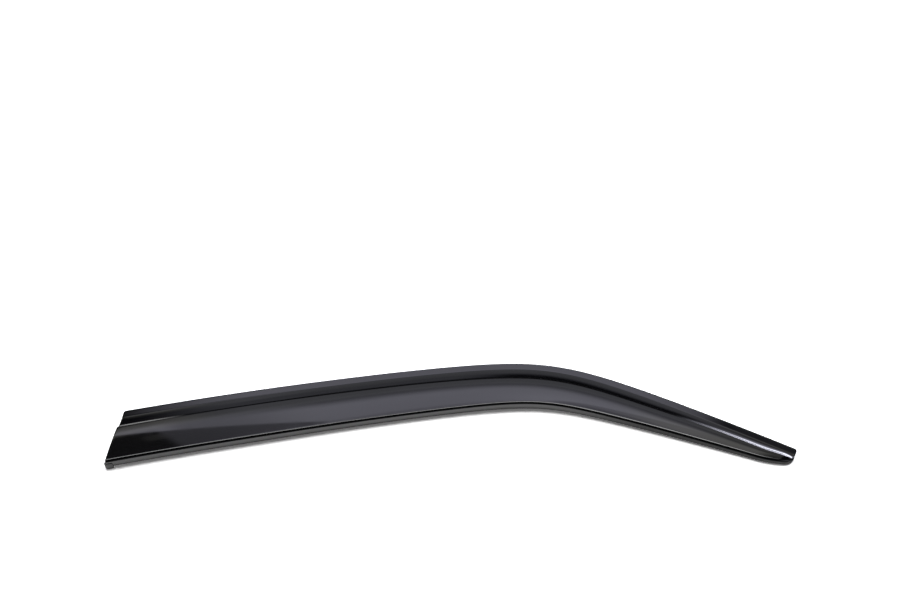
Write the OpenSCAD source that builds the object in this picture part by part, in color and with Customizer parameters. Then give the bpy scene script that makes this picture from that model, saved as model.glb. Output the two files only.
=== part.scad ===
// Stick-on rain deflector for a front side window: one smoke-tinted moulding
// with foam tape and release liner on the back of its mounting flange.
// It lies outer face up. X runs forward along the window, Y across it to the
// roof, Z outward. The origin is on the liner's face, half way along.

/* [Mounting edge] */
// Length of the mounting edge from the middle back to the rear end
rear_reach = 447; // [380:1:500]
// Length of the mounting edge from the middle forward to the tip
front_reach = 472.5; // [455:0.5:500]
// Slope of the mounting edge along the roof, in degrees
roof_slope = 7.2; // [0:0.1:12]
// Turn of the mounting edge over each metre of its length, in degrees
crown = 12.3; // [0:0.1:30]
// Turn from the roof to the windscreen pillar, in degrees
bend_angle = 30.2; // [10:0.1:38]
// Distance of the bend in front of the middle
bend_at = 133; // [60:1:200]
// Length over which the bend eases in and out
bend_ease = 39.4; // [30:0.1:80]
// Radius of the tip's corner on the mounting edge
tip_corner = 4; // [2:0.1:5]
// Radius of the tip's corner on the lower edge
nose_corner = 9; // [5:0.5:9]
// Radius of the flange's rear corner
rear_corner = 3; // [1:0.1:5]

/* [Flange] */
// Thickness of the moulding
wall = 2.5; // [2:0.1:3]
// Width of the flat band that the tape is stuck to
band_w = 9.5; // [9:0.1:11]
// Width of the flange from its edge to the top of the step
flange_w = 31; // [29:0.1:36]
// Extra width of the flange at the bend
bend_extra = 2.7; // [0:0.1:5]
// Loss of width of the flange along the pillar
pillar_less = 7.8; // [5:0.1:8.5]
// Radius of the bend between the flat band and the sloping part of the flange
knee_r = 10; // [6:0.5:14]
// Slope of the flange just past the flat band, in degrees
knee_angle = 9; // [6:0.5:11]
// Slope of the flange just below the step, in degrees
cove_angle = 14; // [12:0.5:18]

/* [Blade] */
// Slope of the step, in degrees
step_angle = 43; // [38:0.5:46]
// Length of the straight part of the step
step_l = 5.2; // [4:0.1:6]
// Extra length of the straight part of the step at the bend
step_more = 2; // [0:0.1:3]
// Radius of the step's lower bend, at the middle of the wall
step_r = 3; // [2:0.1:6]
// Radius of the step's lower bend at the tip
tip_step_r = 13; // [8:0.5:14]
// Radius of the shoulder over the step, at the middle of the wall
shoulder_r = 1.6; // [1.6:0.1:3]
// Slope of the blade beside the step, in degrees
blade_slope_in = 10; // [8:0.5:14]
// Slope of the blade beside its lower edge, in degrees
blade_slope_out = 3; // [0:0.5:6]
// Width of the straight part of the blade beside its lower edge
flat_w = 3; // [1:0.5:8]
// Width of the whole section at the rear, from flange edge to lower edge
edge_w = 87.4; // [80:0.1:98]
// Loss of width per millimetre of length along the roof
roof_taper = 0.0216; // [0:0.0001:0.03]
// Further loss of width per millimetre of length along the pillar
pillar_taper = 0.1323; // [0.08:0.0001:0.135]
// Radius of the rounded lower edge, at the middle of the wall
edge_r = 1.9; // [1.7:0.1:2.5]
// Slope of the lip under the lower edge, past 90 degrees when it leans in
lip_angle = 96; // [88:1:105]
// Height of the lip's rim over the ground, as a share of the lower edge's height
lip_share = 0.24; // [0.2:0.01:0.6]

/* [Foot] */
// Width of the foot at the rear end of the lip
foot_w = 10; // [7:0.1:16]
// Distance the foot reaches out past the rear end
foot_out = 2; // [0.5:0.1:4.5]
// Thickness of the foot
foot_t = 3.6; // [3.2:0.1:4.5]
// Distance the foot stands out in front of the lower edge
foot_proud = 0.3; // [0:0.1:0.6]
// Radius of the foot's lower corners
foot_corner = 2.6; // [1:0.1:3]

/* [Tape] */
// Width of the tape
tape_w = 8; // [6:0.1:8.5]
// Distance from the flange's edge to the tape
tape_inset = 1; // [0.8:0.1:1]
// Thickness of the tape
tape_t = 1.2; // [0.8:0.1:2]
// Thickness of the release liner
liner_t = 0.3; // [0.2:0.1:0.5]
// Distance from the tape's outer ends to the ends of the flange
tape_end = 8; // [6:0.5:30]
// Place of the gap between the two strips, in front of the middle
strip_split = 120; // [40:1:220]
// Gap between the two strips
strip_gap = 6; // [1:0.5:30]

/* [Hidden] */
shell_tint = [0.05, 0.05, 0.06];
tape_tint = [0.12, 0.12, 0.12];
liner_tint = [0.75, 0.08, 0.06];

// Small bevel round the rim of the moulding
bevel = 0.6;
// Height of the middle of the flange's wall over the ground
flange_z = liner_t + tape_t + wall / 2;
// Distance of the flange's widest place behind the bend, and its spread
extra_back = 33;
extra_spread = 110;
// Where the flange narrows along the pillar and the length over which it does
less_at = 322;
less_ease = 33;
// Where each taper starts and the length over which it eases in
roof_taper_at = -271;
roof_taper_ease = 28.6;
pillar_taper_at = 189;
pillar_taper_ease = 46.5;
// Distances back from the tip between which the step takes the tip's shape
tip_turn_from = 200;
tip_turn_to = 22;
// Length of the straight part of the step at the tip
tip_step_l = 0.3;
// Smallest width of the slope between the knee and the step
cove_min = 0.5;
// Stretch over which the flange narrows at the tip, and by how much
neck_l = 45;
neck = 3.6;
// Stretch over which the lower edge curves round to the tip, and its radius
nose_l = 44.5;
nose_r = 114;
// Length of the blade's rounded nose
nose_end = 15;
// Slope of the lip at the nose
nose_lip_angle = 60;
// Smallest width of the blade and of the whole section, at the nose
blade_min = 0.8;
section_min = 2;
// Smallest drop of the lip, and smallest half width of the rim between its bevels
drop_min = 0.2;
rim_min = 0.2;
// Height of the foot as a share of the lower edge's height
foot_share = 0.72;
// Thickness of the slices that the foot is drawn from
slice_h = 0.04;
// Stretch at the rear over which the section turns square to the length
square_l = 120;
// Stretch of closer sections behind and ahead of the bend, and at the tip
bend_behind = 115;
bend_ahead = 125;
tip_l = 75;
// Steps from section to section along the roof, the bend, the pillar and the tip
roof_steps = 20;
bend_steps = 24;
pillar_steps = 6;
tip_steps = 13;
// Facets across the knee, the cove, the step's lower bend, the shoulder, the blade and its edge
knee_n = 2;
cove_n = 2;
low_n = 4;
shoulder_n = 4;
blade_n = 6;
edge_n = 6;
// Longest step along the tape
strip_step = 12;

// Eases from 0 at a to 1 at b
function ease(x, a, b) = let (t = min(max((x - a) / (b - a), 0), 1)) t * t * (3 - 2 * t);
// Rises from 0 to 1 around 0
function rise(x, w) = 1 / (1 + exp(-x / w));
// Stays near 0 up to 0 and then follows x
function ramp(x, w) = w * ln(1 + exp(x / w));
// Value that goes from a to b as t goes from 0 to 1
function blend(a, b, t) = a + (b - a) * t;
// Depth that a corner of radius r cuts in at distance d from an end
function corner_cut(d, r) = d >= r ? 0 : r - sqrt(r * r - (r - d) * (r - d));
function last(v) = v[len(v) - 1];

// Direction of the mounting edge at distance s along it
function heading(s) = roof_slope - crown * s / 1000 - bend_angle * rise(s - bend_at, bend_ease);
// Point of the mounting edge at distance s along it, summed over short steps
function edge_point(s, n = 64) =
    let (steps = [for (i = [0:n - 1]) let (h = heading(s * (i + 0.5) / n)) [cos(h), sin(h)]])
    [0, tape_inset + tape_w / 2] + s / n * ([for (d = steps) 1] * steps);
// Direction across the section, square to the length at the rear end
function skew(s) = heading(-rear_reach) * (1 - ease(s, -rear_reach, square_l - rear_reach));
function across(s) = let (a = heading(s) - skew(s)) [sin(a), -cos(a)] / cos(skew(s));

// Points on an arc after p, from heading a to heading b, with signed radius k
function turn(p, k, a, b, n) =
    [for (i = [1:n]) let (h = a + (b - a) * i / n)
        [p[0] + k * (sin(h) - sin(a)), p[1] + k * (cos(a) - cos(h)), h]];
// Radius of the arc that turns from a to b over the width w
function arc_r(w, a, b) = w / (sin(b) - sin(a));

// Share of the bend's extra sizes at distance s
function at_bend(s) = exp(-pow((s - bend_at + extra_back) / extra_spread, 2));
// Width from the flange's edge to the top of the step
function step_at(s) = flange_w + bend_extra * at_bend(s) - pillar_less * rise(s - less_at, less_ease)
    - neck * ease(s, front_reach - neck_l, front_reach);
// Width from the flange's edge to the lower edge
function edge_at(s) = edge_w - roof_taper * ramp(s - roof_taper_at, roof_taper_ease)
    - pillar_taper * ramp(s - pillar_taper_at, pillar_taper_ease)
    - pow(max(s - front_reach + nose_l, 0), 2) / (2 * nose_r)
    - corner_cut(front_reach - s, nose_corner);
// Where the section starts, past the rounded corners of the flange
function start_at(s) = corner_cut(front_reach - s, tip_corner) + corner_cut(s + rear_reach, rear_corner);
// Height of the raised part as a share, falling to nothing at the nose
function lift(s) = sqrt(1 - pow(min(max((s - front_reach + nose_end) / nose_end, 0), 1), 2));
// Wall thickness, bevelled at both ends
function wall_at(s) = wall - 2 * max(bevel - min(s + rear_reach, front_reach - s), 0);

// Middle of the wall from the flange's edge to the rim of the lip, with its slope
function midline(s) =
    let (
        t = ease(s, front_reach - tip_turn_from, front_reach - tip_turn_to),
        low_r = blend(step_r, tip_step_r, t),
        straight = blend(step_l + step_more * at_bend(s), tip_step_l, t),
        cove_w = step_at(s) - band_w - knee_r * sin(knee_angle) - straight * cos(step_angle)
            - low_r * (sin(step_angle) - sin(cove_angle)),
        band = [[bevel, 0, 0], [band_w, 0, 0]],
        knee = turn(last(band), knee_r, 0, knee_angle, knee_n),
        cove = turn(last(knee), arc_r(max(cove_w, cove_min), knee_angle, cove_angle),
            knee_angle, cove_angle, cove_n),
        low = turn(last(cove), low_r, cove_angle, step_angle, low_n),
        top = last(low) + straight * [cos(step_angle), sin(step_angle), 0],
        shoulder = turn(top, -shoulder_r, step_angle, blade_slope_in, shoulder_n),
        edge_in = wall / 2 + edge_r * (1 + sin(blade_slope_out)),
        blade_w = max(edge_at(s) - edge_in - last(shoulder)[0], blade_min),
        flat = min(flat_w, blade_w / 3),
        blade = turn(last(shoulder), arc_r(blade_w - flat, blade_slope_in, blade_slope_out),
            blade_slope_in, blade_slope_out, blade_n),
        flat_end = last(blade) + flat * [1, tan(blade_slope_out), 0],
        upper = concat(band, knee, cove, low, [top], shoulder, blade, [flat_end]),
        squeeze = (max(edge_at(s), start_at(s) + section_min) - edge_in - start_at(s)) / last(upper)[0],
        fit = squeeze < 1 ? squeeze : 1 - start_at(s) / last(upper)[0],
        placed = [for (p = upper) [start_at(s) + fit * p[0], flange_z + lift(s) * p[1],
            atan(lift(s) * tan(p[2]))]],
        down = blend(nose_lip_angle, lip_angle, lift(s)),
        edge = turn(last(placed), -edge_r, blade_slope_out, -down, edge_n),
        drop = max(last(edge)[1] * (1 - lip_share) - bevel, drop_min),
        rim = last(edge) + drop / sin(down) * [cos(down), -sin(down), 0]
    )
    concat(placed, edge, [rim]);

// Closed outline of the section: outer face out, inner face back, bevelled rims
function section(s) =
    let (m = midline(s), h = wall_at(s) / 2, n = len(m), b = min(bevel, h - rim_min),
        side = function (p, d) [p[0] - d * sin(p[2]), p[1] + d * cos(p[2])],
        past = function (p, d) [p[0] + d * cos(p[2]), p[1] + d * sin(p[2]), p[2]])
    concat(
        [side(past(m[0], -b), h - b)],
        [for (p = m) side(p, h)],
        [side(past(m[n - 1], b), h - b), side(past(m[n - 1], b), b - h)],
        [for (i = [n - 1:-1:0]) side(m[i], -h)],
        [side(past(m[0], -b), b - h)]
    );
// Section point [u, z] at distance s, placed in space
function place(s, p) = let (e = edge_point(s) + p[0] * across(s)) [e[0], e[1], p[1]];

// Distances from a to b in n steps, without a itself
function spaced(a, b, n) = [for (i = [1:n]) blend(a, b, i / n)];
// Distances along the edge at which the section is drawn, closer where it turns
stations = concat(
    [for (f = [0, 0.04, 0.12, 0.2, 0.45, 1]) f * rear_corner - rear_reach],
    spaced(rear_corner - rear_reach, bend_at - bend_behind, roof_steps),
    spaced(bend_at - bend_behind, bend_at + bend_ahead, bend_steps),
    spaced(bend_at + bend_ahead, front_reach - tip_l, pillar_steps),
    spaced(front_reach - tip_l, front_reach - nose_corner, tip_steps),
    [for (f = [0.7, 0.45, 0.3, 0.18, 0.1, 0.05, 0.02, 0]) front_reach - f * nose_corner]
);

module loft() {
    rows = [for (s = stations) let (e = edge_point(s), a = across(s))
        [for (p = section(s)) [e[0] + p[0] * a[0], e[1] + p[0] * a[1], p[1]]]];
    n = len(rows[0]);
    m = len(rows);
    polyhedron(
        points = [for (r = rows) each r],
        faces = concat(
            [[for (j = [0:n - 1]) j]],
            [for (i = [0:m - 2], j = [0:n - 1]) let (k = (j + 1) % n)
                each [[i * n + j, (i + 1) * n + j, (i + 1) * n + k], [i * n + j, (i + 1) * n + k, i * n + k]]],
            [[for (j = [n - 1:-1:0]) (m - 1) * n + j]]
        ),
        convexity = 6
    );
}

// Rounded tab on the lip at the rear end, down to the ground
module foot() {
    s = -rear_reach;
    out = edge_at(s) + foot_proud;
    corner = place(s, [out, 0]);
    ahead = place(s + foot_w, [edge_at(s + foot_w) + foot_proud, 0]) - corner;
    top = foot_share * max([for (p = midline(s)) p[1]]);
    cuts = [0, 0.02, 0.08, 0.18, 0.32, 0.5, 0.75, 1];
    levels = concat([for (c = cuts) c * foot_corner], [top]);
    module slice(z) {
        inset = corner_cut(z, foot_corner);
        translate([inset - foot_out, 0, z]) cube([foot_w - 2 * inset, foot_t, slice_h]);
    }
    translate(corner) rotate(atan2(ahead[1], ahead[0]))
        for (i = [0:len(levels) - 2]) hull() {
            slice(levels[i]);
            slice(levels[i + 1]);
        }
}

module deflector_shell() {
    color(shell_tint) union() {
        loft();
        foot();
    }
}

// Flat strip along the flange's back, from distance a to distance b
module strip(a, b, thickness) {
    n = ceil((b - a) / strip_step);
    line = function (u) [for (i = [0:n]) let (s = blend(a, b, i / n)) edge_point(s) + u * across(s)];
    far = line(tape_inset + tape_w);
    linear_extrude(thickness) polygon(concat(line(tape_inset), [for (i = [n:-1:0]) far[i]]));
}
module roof_strip(thickness) strip(tape_end - rear_reach, strip_split - strip_gap / 2, thickness);
module pillar_strip(thickness) strip(strip_split + strip_gap / 2, front_reach - tape_end, thickness);

module tape_roof() color(tape_tint) translate([0, 0, liner_t]) roof_strip(tape_t);
module tape_pillar() color(tape_tint) translate([0, 0, liner_t]) pillar_strip(tape_t);
module liner_roof() color(liner_tint) roof_strip(liner_t);
module liner_pillar() color(liner_tint) pillar_strip(liner_t);

deflector_shell();
tape_roof();
tape_pillar();
liner_roof();
liner_pillar();
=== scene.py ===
"""Window rain deflector lying outer face up on a pale floor: its smooth skin, its materials, the studio."""
import math
from collections import namedtuple

import bpy
import numpy as np
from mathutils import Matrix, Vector

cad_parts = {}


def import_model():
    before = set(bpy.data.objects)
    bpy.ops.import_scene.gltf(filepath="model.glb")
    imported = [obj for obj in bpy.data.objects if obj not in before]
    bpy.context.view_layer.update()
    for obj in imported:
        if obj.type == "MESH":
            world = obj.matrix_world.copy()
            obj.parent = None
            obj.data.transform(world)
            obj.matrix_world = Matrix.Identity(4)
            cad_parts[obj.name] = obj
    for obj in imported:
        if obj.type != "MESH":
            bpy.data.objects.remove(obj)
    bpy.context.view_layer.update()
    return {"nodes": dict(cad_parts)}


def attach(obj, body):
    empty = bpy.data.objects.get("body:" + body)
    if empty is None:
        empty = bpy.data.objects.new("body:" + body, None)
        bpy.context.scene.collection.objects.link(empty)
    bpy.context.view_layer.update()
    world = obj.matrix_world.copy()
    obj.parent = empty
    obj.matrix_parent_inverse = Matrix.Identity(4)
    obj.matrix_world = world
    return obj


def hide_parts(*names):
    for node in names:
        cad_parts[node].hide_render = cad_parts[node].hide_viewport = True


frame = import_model()

# The moulding in millimetres and degrees, the same as in the CAD source.
# Mounting edge: its reach back and forward from the middle, slope along the roof, turn over each metre
REAR_REACH, FRONT_REACH = 447.0, 472.5
ROOF_SLOPE, CROWN = 7.2, 12.3
# Turn from the roof to the pillar, its distance in front of the middle, the length over which it eases
BEND_ANGLE, BEND_AT, BEND_EASE = 30.2, 133.0, 39.4
# Radii in plan of the tip's corner, of the nose on the lower edge and of the flange's rear corner
TIP_CORNER, NOSE_CORNER, REAR_CORNER = 4.0, 9.0, 3.0
# Thickness, bevel round the rim, smallest half width of the rim between its bevels
WALL, BEVEL, RIM_MIN = 2.5, 0.6, 0.2
# Flat band for the tape, whole flange up to the top of the step, gain at the bend, loss along the pillar
BAND_W, FLANGE_W, BEND_EXTRA, PILLAR_LESS = 9.5, 31.0, 2.7, 7.8
# Distance of the flange's widest place behind the bend and its spread, then where it narrows on the pillar
EXTRA_BACK, EXTRA_SPREAD, LESS_AT, LESS_EASE = 33.0, 110.0, 322.0, 33.0
# Knee past the flat band, and the slope of the flange just below the step
KNEE_R, KNEE_ANGLE, COVE_ANGLE = 10.0, 9.0, 14.0
# Step: its slope, straight part, how much longer that is at the bend, and its length at the tip
STEP_ANGLE, STEP_L, STEP_MORE, TIP_STEP_L = 43.0, 5.2, 2.0, 0.3
# Radii of the step's lower bend, of the same at the tip, and of the shoulder over the step
STEP_R, TIP_STEP_R, SHOULDER_R = 3.0, 13.0, 1.6
# Distances back from the tip between which the step takes the tip's shape
TIP_TURN_FROM, TIP_TURN_TO = 200.0, 22.0
# Slopes of the blade beside the step and beside its lower edge, and the straight part there
SLOPE_IN, SLOPE_OUT, FLAT_W = 10.0, 3.0, 3.0
# Width of the section at the rear, and the width that it loses per length along the roof and the pillar
EDGE_W, ROOF_TAPER, PILLAR_TAPER = 87.4, 0.0216, 0.1323
# Where each taper starts, and the length over which it eases in
ROOF_TAPER_AT, ROOF_TAPER_EASE = -271.0, 28.6
PILLAR_TAPER_AT, PILLAR_TAPER_EASE = 189.0, 46.5
# Rounded lower edge, slope of the lip under it and of the lip at the nose
EDGE_R, LIP_ANGLE, NOSE_LIP_ANGLE = 1.9, 96.0, 60.0
# Height of the lip's rim as a share of the lower edge's height, and the lip's smallest drop
LIP_SHARE, DROP_MIN = 0.24, 0.2
# Tip: where the flange narrows and by how much, where the lower edge curves round, the blade's nose
NECK_L, NECK = 45.0, 3.6
NOSE_L, NOSE_R, NOSE_END = 44.5, 114.0, 15.0
# Smallest widths of the blade and of the whole section, at the nose
BLADE_MIN, SECTION_MIN = 0.8, 2.0
# Stretch at the rear over which the section turns square to the length
SQUARE_L = 120.0
# Foot at the rear end of the lip: width, reach past the end, thickness, how far it stands out
FOOT_W, FOOT_OUT, FOOT_T, FOOT_PROUD = 10.0, 2.0, 3.6, 0.3
# Its lower corners, and its height as a share of the lower edge's height
FOOT_CORNER, FOOT_SHARE = 2.6, 0.72
# Tape: width, distance from the flange's edge, thickness, and the liner's thickness
TAPE_W, TAPE_INSET, TAPE_T, LINER_T = 8.0, 1.0, 1.2, 0.3
FLANGE_Z = LINER_T + TAPE_T + WALL / 2

# Steps in which each stretch of the section is drawn, from the flange's edge to the rim of the lip
BAND_N, KNEE_N, COVE_N, LOW_N, STEP_N = 6, 6, 8, 14, 4
SHOULDER_N, BLADE_N, FLAT_N, EDGE_N, LIP_N = 12, 24, 6, 16, 4
# Angles at which the rim's bevel has its points
RIM_ANGLES = (30, 60, 90)
# Steps in which the mounting edge is summed up to one of its points
HEADING_STEPS = 200
# Sections along the edge: shares of a rounded corner, then where each spacing ends and how wide it is
CORNER_SHARES = (0, 0.01, 0.03, 0.07, 0.12, 0.2, 0.3, 0.45, 0.65, 1)
SPACINGS = ((0.0, 5.0), (290.0, 2.0), (380.0, 3.0), (FRONT_REACH - NOSE_CORNER, 1.0))
# Outlines through the foot's bevel, as shares of its depth, and the angles of its corners
FOOT_BEVEL_SHARES = (0, 0.1, 0.3, 0.6, 1)
FOOT_ANGLES = range(0, 91, 10)
# Edges that turn by more than this are drawn sharp
SHARP_ANGLE = 35

# The photograph's camera: place in millimetres in the part's frame, pitch below the horizon, lens, sensor
CAMERA_AT = (6.7, -857.7, 1050.5)
CAMERA_PITCH = 47.0
CAMERA_LENS, CAMERA_SENSOR = 38.31, 36.0
# Farthest distance that it draws, in metres
CAMERA_REACH = 50.0


def sin_d(a):
    return math.sin(math.radians(a))


def cos_d(a):
    return math.cos(math.radians(a))


def ease(x, a, b):
    """Eases from 0 at a to 1 at b."""
    t = min(max((x - a) / (b - a), 0.0), 1.0)
    return t * t * (3 - 2 * t)


def rise(x, w):
    """Rises from 0 to 1 around 0, for a number or an array."""
    return 1 / (1 + np.exp(-x / w))


def ramp(x, w):
    """Stays near 0 up to 0 and then follows x."""
    return w * math.log(1 + math.exp(x / w))


def blend(a, b, t):
    """Value that goes from a to b as t goes from 0 to 1."""
    return a + (b - a) * t


def corner_cut(d, r):
    """Depth that a corner of radius r cuts in at distance d from an end."""
    return 0.0 if d >= r else r - math.sqrt(max(r * r - (r - d) ** 2, 0.0))


def flattened(slope, share):
    """Slope that is left of a line when its height shrinks to a share."""
    return math.degrees(math.atan(share * math.tan(math.radians(slope))))


def heading(s):
    """Direction of the mounting edge at distance s along it."""
    return ROOF_SLOPE - CROWN * s / 1000 - BEND_ANGLE * rise(s - BEND_AT, BEND_EASE)


def edge_point(s):
    """Point of the mounting edge at distance s along it, summed over short steps."""
    h = np.radians(heading((np.arange(HEADING_STEPS) + 0.5) / HEADING_STEPS * s))
    run = s / HEADING_STEPS * np.array([np.cos(h).sum(), np.sin(h).sum()])
    return np.array([0.0, TAPE_INSET + TAPE_W / 2]) + run


def across(s):
    """Direction across the section, square to the length at the rear end."""
    skew = heading(-REAR_REACH) * (1 - ease(s, -REAR_REACH, SQUARE_L - REAR_REACH))
    a = heading(s) - skew
    return np.array([sin_d(a), -cos_d(a)]) / cos_d(skew)


def turn(p, k, a, b, n):
    """Points on an arc after p, from heading a to heading b, with signed radius k."""
    out = []
    for i in range(1, n + 1):
        h = a + (b - a) * i / n
        out.append((p[0] + k * (sin_d(h) - sin_d(a)), p[1] + k * (cos_d(a) - cos_d(h)), h))
    return out


def arc_r(w, a, b):
    """Radius of the arc that turns from a to b over the width w."""
    return w / (sin_d(b) - sin_d(a))


def line(p, length, h, n):
    """Points on a straight line after p, with heading h."""
    runs = [length * i / n for i in range(1, n + 1)]
    return [(p[0] + run * cos_d(h), p[1] + run * sin_d(h), h) for run in runs]


def at_bend(s):
    """Share of the bend's extra sizes at distance s."""
    return math.exp(-((s - BEND_AT + EXTRA_BACK) / EXTRA_SPREAD) ** 2)


def step_at(s):
    """Width from the flange's edge to the top of the step."""
    return (FLANGE_W + BEND_EXTRA * at_bend(s) - PILLAR_LESS * rise(s - LESS_AT, LESS_EASE)
            - NECK * ease(s, FRONT_REACH - NECK_L, FRONT_REACH))


def edge_at(s):
    """Width from the flange's edge to the lower edge."""
    return (EDGE_W - ROOF_TAPER * ramp(s - ROOF_TAPER_AT, ROOF_TAPER_EASE)
            - PILLAR_TAPER * ramp(s - PILLAR_TAPER_AT, PILLAR_TAPER_EASE)
            - max(s - FRONT_REACH + NOSE_L, 0) ** 2 / (2 * NOSE_R)
            - corner_cut(FRONT_REACH - s, NOSE_CORNER))


def start_at(s):
    """Where the section starts, past the rounded corners of the flange."""
    return corner_cut(FRONT_REACH - s, TIP_CORNER) + corner_cut(s + REAR_REACH, REAR_CORNER)


def lift(s):
    """Share of its height that the section keeps, less at the blade's rounded nose."""
    return math.sqrt(1 - min(max((s - FRONT_REACH + NOSE_END) / NOSE_END, 0), 1) ** 2)


def wall_at(s):
    """Thickness of the wall, less at both ends, where the rim is rounded."""
    return WALL - 2 * corner_cut(min(s + REAR_REACH, FRONT_REACH - s), BEVEL)


def flange(s):
    """Middle of the wall from the flange's edge to the shoulder over the step, with its slope."""
    t = ease(s, FRONT_REACH - TIP_TURN_FROM, FRONT_REACH - TIP_TURN_TO)
    low_r = blend(STEP_R, TIP_STEP_R, t)
    straight = blend(STEP_L + STEP_MORE * at_bend(s), TIP_STEP_L, t)
    cove_w = (step_at(s) - BAND_W - KNEE_R * sin_d(KNEE_ANGLE) - straight * cos_d(STEP_ANGLE)
              - low_r * (sin_d(STEP_ANGLE) - sin_d(COVE_ANGLE)))
    pts = [(BEVEL, 0.0, 0.0)] + line((BEVEL, 0.0), BAND_W - BEVEL, 0.0, BAND_N)
    pts += turn(pts[-1], KNEE_R, 0, KNEE_ANGLE, KNEE_N)
    pts += turn(pts[-1], arc_r(cove_w, KNEE_ANGLE, COVE_ANGLE), KNEE_ANGLE, COVE_ANGLE, COVE_N)
    pts += turn(pts[-1], low_r, COVE_ANGLE, STEP_ANGLE, LOW_N)
    pts += line(pts[-1], straight, STEP_ANGLE, STEP_N)
    return pts + turn(pts[-1], -SHOULDER_R, STEP_ANGLE, SLOPE_IN, SHOULDER_N)


def blade(start, width):
    """Middle of the wall over the blade's width, straight over its last third at the most."""
    flat_w = min(FLAT_W, width / 3)
    pts = turn(start, arc_r(width - flat_w, SLOPE_IN, SLOPE_OUT), SLOPE_IN, SLOPE_OUT, BLADE_N)
    return pts + line(pts[-1], flat_w / cos_d(SLOPE_OUT), SLOPE_OUT, FLAT_N)


def midline(s):
    """Middle of the wall from the flange's edge to the rim of the lip, squeezed to fit at the ends."""
    edge_in = WALL / 2 + EDGE_R * (1 + sin_d(SLOPE_OUT))
    pts = flange(s)
    pts += blade(pts[-1], max(edge_at(s) - edge_in - pts[-1][0], BLADE_MIN))
    start, width = start_at(s), pts[-1][0]
    squeeze = (max(edge_at(s), start + SECTION_MIN) - edge_in - start) / width
    fit = squeeze if squeeze < 1 else 1 - start / width
    up = lift(s)
    placed = [(start + fit * u, FLANGE_Z + up * z, flattened(h, up)) for u, z, h in pts]
    down = blend(NOSE_LIP_ANGLE, LIP_ANGLE, up)
    placed += turn(placed[-1], -EDGE_R, SLOPE_OUT, -down, EDGE_N)
    drop = max(placed[-1][1] * (1 - LIP_SHARE) - BEVEL, DROP_MIN)
    return placed + line(placed[-1], drop / sin_d(down), -down, LIP_N)


def section(s):
    """Closed outline of the section: outer face out, rounded rims, inner face back."""
    m, h = midline(s), wall_at(s) / 2
    b = min(BEVEL, h - RIM_MIN)

    def side(p, along, d):
        return (p[0] + along * cos_d(p[2]) - d * sin_d(p[2]), p[1] + along * sin_d(p[2]) + d * cos_d(p[2]))

    rim = [(b * sin_d(a), h - b + b * cos_d(a)) for a in RIM_ANGLES]
    start = [side(m[0], -x, d) for x, d in reversed(rim)]
    end = [side(m[-1], x, d) for x, d in rim] + [side(m[-1], x, -d) for x, d in reversed(rim)]
    back = [side(m[0], -x, -d) for x, d in rim]
    return start + [side(p, 0, h) for p in m] + end + [side(p, 0, -h) for p in reversed(m)] + back


def stations():
    """Distances along the edge at which the section is drawn, closer where it turns."""
    out = [share * REAR_CORNER - REAR_REACH for share in CORNER_SHARES]
    for end, pitch in SPACINGS:
        start = out[-1]
        n = round((end - start) / pitch)
        out += [blend(start, end, i / n) for i in range(1, n + 1)]
    return out + [FRONT_REACH - share * NOSE_CORNER for share in reversed(CORNER_SHARES[:-1])]


def stacked(rows, first=0):
    """Points and faces through a row of outlines, closed at both ends; point numbers start at first."""
    n, last = len(rows[0]), len(rows) - 1
    faces = [tuple(range(n - 1, -1, -1)), tuple(last * n + j for j in range(n))]
    for i in range(last):
        for j in range(n):
            k = (j + 1) % n
            faces.append((i * n + j, i * n + k, (i + 1) * n + k, (i + 1) * n + j))
    return [p for row in rows for p in row], [tuple(first + q for q in face) for face in faces]


def moulding():
    """The moulding's sections along the mounting edge."""
    rows = []
    for s in stations():
        e, a = edge_point(s), across(s)
        rows.append([(e[0] + u * a[0], e[1] + u * a[1], z) for u, z in section(s)])
    return rows


def foot():
    """Rounded tab at the rear end of the lip, as outlines through its thickness."""
    def lower_edge(s):
        return edge_point(s) + (edge_at(s) + FOOT_PROUD) * across(s)

    corner = lower_edge(-REAR_REACH)
    ahead = lower_edge(FOOT_W - REAR_REACH) - corner
    ahead /= np.linalg.norm(ahead)
    inward = np.array([-ahead[1], ahead[0]])
    top = FOOT_SHARE * max(z for _, z, _ in midline(-REAR_REACH))

    def outline(shrink):
        r = FOOT_CORNER - shrink
        low = [(FOOT_W - FOOT_CORNER + r * sin_d(a), FOOT_CORNER - r * cos_d(a)) for a in FOOT_ANGLES]
        left = [(FOOT_CORNER - r * sin_d(a), FOOT_CORNER - r * cos_d(a)) for a in reversed(FOOT_ANGLES)]
        return left + low + [(FOOT_W - shrink, top - shrink), (shrink, top - shrink)]

    depths = [(corner_cut(share * BEVEL, BEVEL), share * BEVEL) for share in FOOT_BEVEL_SHARES]
    depths += [(shrink, FOOT_T - depth) for shrink, depth in reversed(depths)]
    rows = []
    for shrink, depth in depths:
        base = corner + depth * inward
        rows.append([(*(base + (x - FOOT_OUT) * ahead), z) for x, z in outline(shrink)])
    return rows


def add_object(name, data, location=(0, 0, 0)):
    """New object in the scene, with its mesh, lamp or camera data."""
    obj = bpy.data.objects.new(name, data)
    bpy.context.scene.collection.objects.link(obj)
    obj.location = location
    return obj


def skin(name, verts, faces):
    """Smooth mesh object from points in millimetres."""
    mesh = bpy.data.meshes.new(name)
    mesh.from_pydata([tuple(c / 1000 for c in v) for v in verts], [], faces)
    mesh.validate()
    mesh.shade_smooth()
    mesh.set_sharp_from_angle(angle=math.radians(SHARP_ANGLE))
    return add_object(name, mesh)


def dress(obj, mat):
    obj.data.materials.clear()
    obj.data.materials.append(mat)


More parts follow.
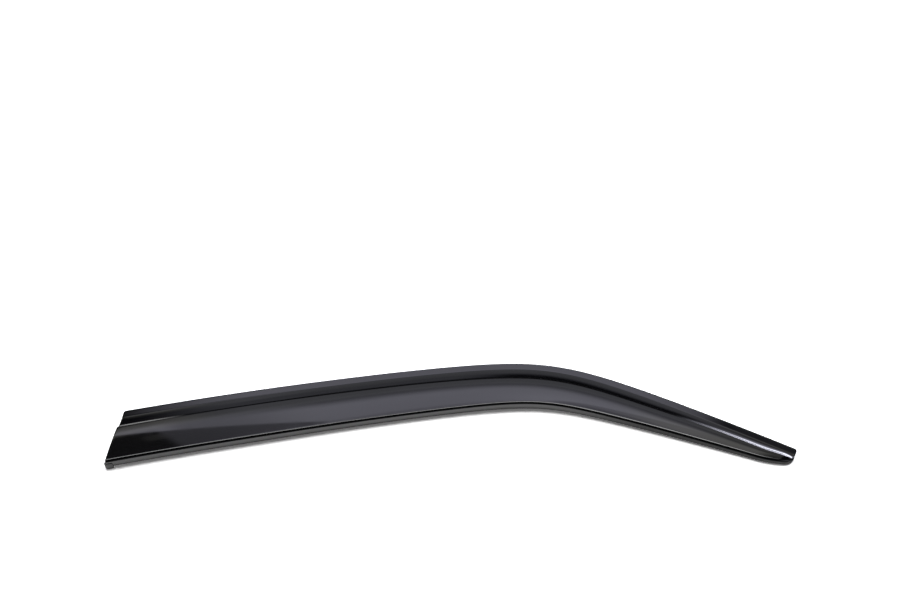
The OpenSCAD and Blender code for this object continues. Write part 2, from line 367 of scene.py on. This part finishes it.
class Tree:
    """Node tree of a material or the world, with a method for each kind of node that is used here."""

    def __init__(self, owner):
        owner.use_nodes = True
        self.nodes, self.links = owner.node_tree.nodes, owner.node_tree.links

    def find(self, kind):
        return next(n for n in self.nodes if n.type == kind)

    def feed(self, node, inputs):
        """Links each input to another node's socket, or sets it to a plain value, by name or number."""
        for name, value in inputs.items():
            if isinstance(value, bpy.types.NodeSocket):
                self.links.new(value, node.inputs[name])
            else:
                node.inputs[name].default_value = value

    def add(self, kind, inputs, **settings):
        """New node of that kind, with its settings made before its inputs are fed."""
        node = self.nodes.new("ShaderNode" + kind)
        for name, value in settings.items():
            setattr(node, name, value)
        self.feed(node, inputs)
        return node

    def coords(self):
        return self.add("TexCoord", {}).outputs["Object"]

    def split(self, vector):
        return self.add("SeparateXYZ", {0: vector}).outputs

    def ray(self, kind):
        """1 for rays of that kind, else 0."""
        return self.add("LightPath", {}).outputs[f"Is {kind} Ray"]

    def calc(self, operation, *values):
        return self.add("Math", dict(enumerate(values)), operation=operation).outputs[0]

    def product(self, first, *others):
        for other in others:
            first = self.calc("MULTIPLY", first, other)
        return first

    def rest(self, share):
        """What a share leaves of 1."""
        return self.calc("SUBTRACT", 1, share)

    def vector(self, operation, inputs):
        return self.add("VectorMath", inputs, operation=operation).outputs

    def smooth(self, value, low, high):
        """Eases from 0 at low to 1 at high."""
        inputs = {"Value": value, "From Min": low, "From Max": high}
        return self.add("MapRange", inputs, interpolation_type="SMOOTHSTEP").outputs["Result"]

    def spread(self, noise, low, high, noise_low=0.3, noise_high=0.7):
        """Stretches the middle of a noise over the values from low to high."""
        limits = {"From Min": noise_low, "From Max": noise_high, "To Min": low, "To Max": high}
        return self.add("MapRange", {"Value": noise, **limits}).outputs["Result"]

    def mix(self, share, a, b):
        """Colour that goes from a to b with the share; each is a plain colour or a socket."""
        a, b = ((*c, 1) if isinstance(c, tuple) else c for c in (a, b))
        return self.add("Mix", {"Factor": share, "A": a, "B": b}, data_type="RGBA").outputs["Result"]

    def noise(self, scale, detail, stretch=(1, 1, 1)):
        at = self.add("Mapping", {"Vector": self.coords(), "Scale": stretch}).outputs["Vector"]
        return self.add("TexNoise", {"Vector": at, "Scale": scale, "Detail": detail}).outputs["Fac"]

    def bump(self, height, distance, strength, under=None):
        """Normal bent by a height, on top of another bump where one is given."""
        inputs = {"Height": height, "Distance": distance, "Strength": strength}
        if under is not None:
            inputs["Normal"] = under
        return self.add("Bump", inputs).outputs["Normal"]


def new_material(name):
    """Material with its tree and its shader."""
    mat = bpy.data.materials.new(name)
    tree = Tree(mat)
    return mat, tree, tree.find("BSDF_PRINCIPLED")


def bare_material(name):
    """Material with its tree and its output, ready for another shader."""
    mat, tree, shader = new_material(name)
    tree.nodes.remove(shader)
    return mat, tree, tree.find("OUTPUT_MATERIAL")


# Colours between which each material varies, and the acrylic's index of refraction
SMOKE_DARK, SMOKE_PALE = (0.0015, 0.0015, 0.0018), (0.003, 0.003, 0.0036)
FOAM_DARK, FOAM_PALE = (0.05, 0.05, 0.052), (0.1, 0.1, 0.105)
LINER_DARK, LINER_PALE = (0.5, 0.03, 0.025), (0.66, 0.06, 0.045)
ACRYLIC_IOR = 1.49


def acrylic():
    """Polished smoke-tinted acrylic: nearly black, with a faint drawn waviness and fine dust."""
    mat, tree, shader = new_material("smoke_acrylic")
    wave = tree.bump(tree.noise(scale=9, detail=1, stretch=(0.6, 1, 1)), distance=0.0006, strength=0.25)
    tree.feed(shader, {
        "Base Color": tree.mix(tree.noise(scale=14, detail=4), SMOKE_DARK, SMOKE_PALE),
        "Roughness": tree.spread(tree.noise(scale=60, detail=5), low=0.035, high=0.075),
        "IOR": ACRYLIC_IOR,
        "Normal": tree.bump(tree.noise(scale=900, detail=2), distance=0.00001, strength=0.2, under=wave),
    })
    return mat


def foam():
    """Closed-cell foam tape: dark grey, matte, with a fine cell texture."""
    mat, tree, shader = new_material("foam_tape")
    cells = tree.noise(scale=2500, detail=2)
    tree.feed(shader, {
        "Base Color": tree.mix(cells, FOAM_DARK, FOAM_PALE),
        "Roughness": tree.spread(cells, low=0.75, high=0.95),
        "Normal": tree.bump(cells, distance=0.0002, strength=0.6),
    })
    return mat


def liner():
    """Release liner: red plastic film with a satin shine and a slight ripple along the strip."""
    mat, tree, shader = new_material("release_liner")
    tree.feed(shader, {
        "Base Color": tree.mix(tree.noise(scale=120, detail=4), LINER_DARK, LINER_PALE),
        "Roughness": tree.spread(tree.noise(scale=400, detail=3), low=0.28, high=0.42),
        "Normal": tree.bump(tree.noise(scale=45, detail=2), distance=0.0015, strength=0.35),
    })
    return mat


# The studio, in metres and degrees; the wall stands round this point and the lamps face it
MIDDLE = (0.0, -0.05, 0.0)

# The floor: its width, and how far it lies below the part so that the faces don't meet
FLOOR_SIZE, FLOOR_DOWN = 12.0, 0.0002
# Its colour to the light, to the camera and in the strip that reflects, and in all other reflections, where
# it is painted dark: a painted dark reflection, darker than the lit floor, which the step shows as a black
# line
FLOOR_COLOUR, FLOOR_SEEN, FLOOR_REFLECTION_PAINTED_DARK = (0.8, 0.8, 0.8), (1.5, 1.5, 1.5), (0.1, 0.1, 0.1)
# Its glow to the camera and in the strip, where it adds to the painted reflection
FLOOR_GLOW = 0.16
# Distances from the origin between which it turns plain white to the camera
WHITE_REACH = (0.7, 1.3)
# The part's lower edge in plan, as two lines of -Y over X, each a start and a slope, and their soft corner
EDGE_LINES, EDGE_CORNER = ((0.0746, -0.1903), (0.0205, 0.3283)), 0.0884
# Distances in front of that edge between which the bright strip begins, and between which it ends. The
# strip is a painted reflection: the floor is bright there in reflections alone, and the lip shows it as its
# grey
STRIP_BEGINS, STRIP_ENDS = (-0.02, 0.0), (0.006, 0.035)
# Share by which the strip is dimmer at the tip, which paints shade into the lip's reflection there, and the
# X between which that sets in
TIP_PAINTED_SHADE, TIP_PAINTED_SHADE_X = 0.42, (0.12, 0.27)

# The curved wall behind the table: radius, reach to both sides, top, number of its flat faces
WALL_R, WALL_SPAN, WALL_TOP, WALL_N = 3.0, 165.0, 70.0, 110
WALL_WHITE = (1.0, 1.0, 1.0)
COOL, BLUE, WARM, WHITE = (0.94, 0.95, 1.09), (0.96, 0.95, 1.12), (1.01, 1.0, 0.95), (1.0, 1.0, 1.0)
# Azimuths past which a slanted window's edges sink, to the left and to the right
SLANT_LEFT, SLANT_RIGHT = -15.3, 10.0
# A soft window in the wall. Its brightness rises over the elevations low and the azimuths left, and falls
# over high and right. Its lower and upper edges sink by slant_low and slant_high, each a pair of degrees
# for each degree of azimuth past the limit on the left and past the one on the right
Window = namedtuple("Window", "level colour low high left right slant_low slant_high",
                    defaults=((0, 0), (0, 0)))
WINDOWS = (
    # Low ones, which show in the flange's slope and in the blade beside the step
    Window(0.42, COOL, (21, 25), (34, 36), (-32.5, -22), (-3, 6), (0.5, 0)),
    Window(0.42, COOL, (25, 28), (34, 36), (-3, 6), (29, 35)),
    Window(0.15, COOL, (29, 32), (34, 36), (-32.5, -22), (42, 44), (0.5, 0)),
    Window(0.15, WARM, (27, 29), (34, 36), (-90, -80), (42, 44)),
    Window(0.35, WARM, (30, 32), (34, 36), (29, 34), (42, 44)),
    Window(0.6, WARM, (29, 30.5), (33, 35.5), (-90, -80), (-31, -24)),
    # Middle ones, which show in the rest of the blade
    Window(0.85, BLUE, (34.8, 39.4), (46.8, 48), (-90, -80), (20, 30), (0.27, 0), (0.68, 0.1)),
    Window(1.1, WARM, (34.8, 39.4), (46.8, 48), (20, 30), (36.5, 40.5), (0, -0.08), (0, 0.05)),
    Window(0.5, BLUE, (34.8, 39.4), (46.8, 48), (-25, -15), (30, 38), (0.27, -0.12), (0.68, 0.33)),
    Window(0.6, BLUE, (31.8, 33.3), (47, 47.6), (-90, -80), (-31.5, -29), (0, 0), (0.68, 0)),
    Window(0.05, WARM, (30, 34), (59.5, 60), (-90, -80), (-20, -10)),
    Window(0.5, BLUE, (38, 46), (47, 48), (-6, 16), (28, 36), (0, 0), (0, 0.33)),
    Window(0.45, BLUE, (33, 36), (47.9, 48.9), (-31.8, -31.2), (28, 38), (0, 0), (0.13, 0)),
    Window(0.4, WARM, (33, 36), (47.9, 48.9), (28, 38), (41, 44)),
    Window(0.2, BLUE, (34, 37), (47.9, 48.9), (-29, -18), (30, 36), (0, 0), (0.13, 0)),
    Window(0.15, WARM, (37.4, 38), (40.4, 41), (-33.6, -33.2), (-31.7, -31.2)),
    # High ones, which show in the flange's flat band
    Window(0.9, BLUE, (47.6, 48), (59.5, 60), (-34, -24), (27, 32), (0.03, 0)),
    Window(1.0, BLUE, (47.6, 48), (51, 54), (-40, -31), (21, 32), (0.03, 0)),
    Window(1.0, BLUE, (51, 54), (59.5, 60), (-90, -80), (28, 32)),
    Window(0.2, BLUE, (46, 50), (59.5, 60), (29.5, 33.5), (60, 70)),
    # The highest ones, which show as the light line on the blade's rounded edge
    Window(1.3, WHITE, (52, 55), (66, 70), (-41, -34), (-16, -8)),
    Window(2.2, WHITE, (52, 55), (66, 70), (14, 21), (42, 48)),
    # The lowest and brightest ones, which show in the step near the tip and at the rear end
    Window(19.0, COOL, (-2, -1), (2, 31), (27, 39), (41, 46)),
    Window(3.0, WHITE, (-2, -1), (6, 20), (-48, -42), (-30, -26.5)),
)
# Soft windows to both sides and towards the front, which only show in the part from other angles
SIDE_WINDOWS = (
    Window(0.35, COOL, (3, 14), (44, 60), (72, 96), (142, 162)),
    Window(0.5, WHITE, (17, 24), (34, 50), (84, 110), (140, 160)),
    Window(0.35, WARM, (3, 14), (44, 60), (-148, -132), (-96, -72)),
    Window(0.5, WHITE, (17, 24), (34, 50), (-147, -130), (-110, -84)),
)

# The world's light, and its colour to the camera
WORLD_LIGHT, WORLD_SEEN = (0.01, 0.01, 0.01), (1.0, 1.0, 1.0)
# The two long lamps above, which cast the shadow: place, width and length, radiance
LAMPS = {
    "lamp_left": ((-0.77, 0.3, 2.2), (0.53, 1.5), 9.0),
    "lamp_right": ((0.5, 0.3, 2.2), (0.62, 1.5), 10.0),
}


def stage_piece(name, verts, faces, mat, location=(0, 0, 0)):
    """Object of the studio, which isn't part of the deflector."""
    mesh = bpy.data.meshes.new(name)
    mesh.from_pydata(verts, [], faces)
    obj = add_object(name, mesh, location)
    dress(obj, mat)


def painted_reflection_strip(tree, x, y):
    """Painted reflection for the lip: 1 just in front of the part's lower edge, 0 elsewhere, and less than
    1 at the tip, where it paints shade into the lip's reflection.
    """
    lines = [tree.calc("ADD", tree.product(x, slope), start) for start, slope in EDGE_LINES]
    ahead = tree.calc("SUBTRACT", tree.product(y, -1), tree.calc("SMOOTH_MAX", *lines, EDGE_CORNER))
    # Painted shade: the lip's reflection is made dimmer towards the tip
    dim = tree.product(tree.smooth(x, *TIP_PAINTED_SHADE_X), TIP_PAINTED_SHADE)
    return tree.product(tree.smooth(ahead, *STRIP_BEGINS), tree.rest(tree.smooth(ahead, *STRIP_ENDS)),
                        tree.rest(dim))


def floor_material():
    """Pale and matt to the light, brighter to the camera, and in reflections painted dark but for the
    strip, where it paints a bright reflection into the lip.
    """
    mat, tree, output = bare_material("floor")
    camera_ray, glossy_ray, place = tree.ray("Camera"), tree.ray("Glossy"), tree.coords()
    x, y, _ = tree.split(place)
    # Painted reflection: the floor is bright in reflections only in a strip along the part's lower edge
    strip = painted_reflection_strip(tree, x, y)
    seen = tree.calc("MAXIMUM", camera_ray, tree.product(glossy_ray, strip))
    # Painted dark reflection: outside the strip the floor shows far darker in reflections than it is lit
    dark = tree.product(glossy_ray, tree.rest(strip))
    colour = tree.mix(dark, tree.mix(seen, FLOOR_COLOUR, FLOOR_SEEN), FLOOR_REFLECTION_PAINTED_DARK)
    reach = tree.vector("LENGTH", {0: place})["Value"]
    white = tree.product(camera_ray, tree.smooth(reach, *WHITE_REACH))
    glow = tree.calc("MAXIMUM", tree.product(seen, FLOOR_GLOW), white)
    matt = tree.add("BsdfDiffuse", {"Color": colour}).outputs[0]
    shine = tree.add("Emission", {"Strength": glow}).outputs[0]
    tree.feed(output, {"Surface": tree.add("AddShader", {0: matt, 1: shine}).outputs[0]})
    return mat


def floor():
    """Flat floor just under the part."""
    h = FLOOR_SIZE / 2
    corners = [(x, y, -FLOOR_DOWN) for x, y in ((-h, -h), (h, -h), (h, h), (-h, h))]
    stage_piece("floor", corners, [(0, 1, 2, 3)], floor_material())


def beyond(tree, azimuth, limit, sign):
    """Degrees by which the azimuth lies past a limit, to the left for sign -1 and to the right for 1."""
    return tree.calc("MAXIMUM", tree.product(tree.calc("SUBTRACT", azimuth, limit), sign), 0)


def wall_light(tree, windows):
    """Light of the wall by azimuth and elevation, summed over the windows."""
    x, y, z = tree.split(tree.coords())
    degrees = math.degrees(1)
    azimuth = tree.product(tree.calc("ARCTAN2", x, y), degrees)
    elevation = tree.product(tree.calc("ARCTAN2", z, WALL_R), degrees)
    to_left = beyond(tree, azimuth, SLANT_LEFT, -1)
    to_right = beyond(tree, azimuth, SLANT_RIGHT, 1)

    def slanted(left, right):
        sunk = tree.calc("ADD", tree.product(to_left, left), tree.product(to_right, right))
        return tree.calc("ADD", elevation, sunk)

    total = (0, 0, 0)
    for w in windows:
        up = tree.smooth(slanted(*w.slant_low), *w.low)
        down = tree.rest(tree.smooth(slanted(*w.slant_high), *w.high))
        sideways = tree.product(tree.smooth(azimuth, *w.left), tree.rest(tree.smooth(azimuth, *w.right)))
        colour = tuple(w.level * c for c in w.colour)
        light = tree.vector("SCALE", {0: colour, "Scale": tree.product(up, down, sideways)})[0]
        total = tree.vector("ADD", {0: total, 1: light})[0]
    return total


def wall_material():
    """White to the camera and lit by the windows to all else, by the side windows in gloss alone."""
    mat, tree, output = bare_material("wall")
    sides = tree.vector("SCALE", {0: wall_light(tree, SIDE_WINDOWS), "Scale": tree.ray("Glossy")})[0]
    light = tree.vector("ADD", {0: wall_light(tree, WINDOWS), 1: sides})[0]
    colour = tree.mix(tree.ray("Camera"), light, WALL_WHITE)
    tree.feed(output, {"Surface": tree.add("Emission", {"Color": colour}).outputs[0]})
    return mat


def wall():
    """Wall that curves round the table from side to side, open towards the front."""
    n, top = WALL_N, WALL_R * math.tan(math.radians(WALL_TOP))
    ring = [blend(-WALL_SPAN, WALL_SPAN, i / n) for i in range(n + 1)]
    verts = [(WALL_R * sin_d(a), WALL_R * cos_d(a), z) for z in (0, top) for a in ring]
    faces = [(i, i + 1, n + 2 + i, n + 1 + i) for i in range(n)]
    stage_piece("wall", verts, faces, wall_material(), MIDDLE)


def world():
    """White to the camera, dim grey for all that lights the object or shows in it."""
    studio = bpy.data.worlds.new("studio")
    bpy.context.scene.world = studio
    tree = Tree(studio)
    tree.feed(tree.find("BACKGROUND"), {"Color": tree.mix(tree.ray("Camera"), WORLD_LIGHT, WORLD_SEEN)})


def lamp(name, place, size, radiance):
    """Rectangular area light that faces the middle; its power is pi times radiance times area."""
    data = bpy.data.lights.new(name, "AREA")
    data.shape = "RECTANGLE"
    data.size, data.size_y = size
    data.energy = radiance * math.pi * size[0] * size[1]
    aim = Vector(MIDDLE) - Vector(place)
    add_object(name, data, place).rotation_euler = aim.to_track_quat("-Z", "Y").to_euler()


def camera():
    """The photograph's camera, which looks along +Y and down."""
    data = bpy.data.cameras.new("camera")
    data.lens = CAMERA_LENS
    data.sensor_width = CAMERA_SENSOR
    data.clip_end = CAMERA_REACH
    obj = add_object("camera", data, [c / 1000 for c in CAMERA_AT])
    obj.rotation_euler = (math.radians(90 - CAMERA_PITCH), 0, 0)
    bpy.context.scene.camera = obj


bpy.context.scene.view_settings.view_transform = "Standard"

shell_verts, shell_faces = stacked(moulding())
foot_verts, foot_faces = stacked(foot(), first=len(shell_verts))
shell = skin("deflector_skin", shell_verts + foot_verts, shell_faces + foot_faces)
dress(shell, acrylic())
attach(shell, "root")
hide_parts("deflector_shell")

foam_mat, liner_mat = foam(), liner()
for node, obj in frame["nodes"].items():
    if node.startswith("tape_"):
        dress(obj, foam_mat)
    if node.startswith("liner_"):
        dress(obj, liner_mat)

floor()
world()
wall()
for name, (place, size, radiance) in LAMPS.items():
    lamp(name, place, size, radiance)
camera()
